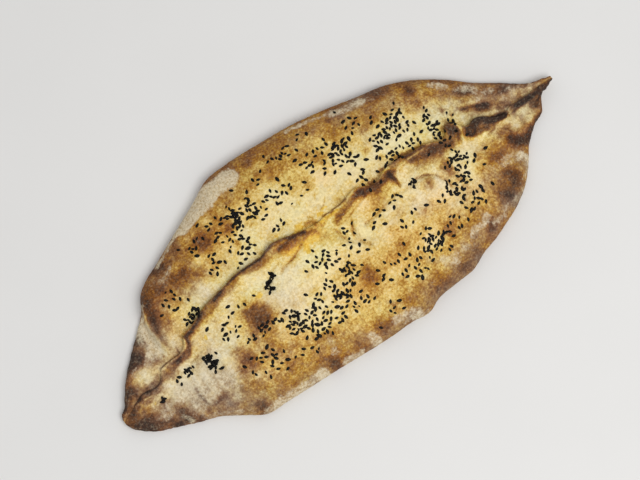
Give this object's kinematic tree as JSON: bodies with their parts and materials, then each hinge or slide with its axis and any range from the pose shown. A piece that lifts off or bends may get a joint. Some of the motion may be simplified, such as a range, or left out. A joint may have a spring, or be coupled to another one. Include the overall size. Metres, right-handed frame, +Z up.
{
  "type": "calzone",
  "caption": "Boat-shaped folded calzone, baked, with a lapped seam along its top, pinched flat tips and black seeds",
  "frame": {"origin": "centre of the footprint of the whole calzone, on the surface it rests on", "axes": "+X along the length towards the narrower pinched tip, +Y towards the far flap that goes under the seam, +Z up"},
  "size_m": [0.3926, 0.174, 0.0334],
  "materials": {
    "crust": "matt baked wheat crust, cream to golden brown with charred and floury patches",
    "seed": "dry black sesame husk, satin"
  },
  "bodies": {
    "root": {"calzone": "crust"}
  },
  "joints": []
}
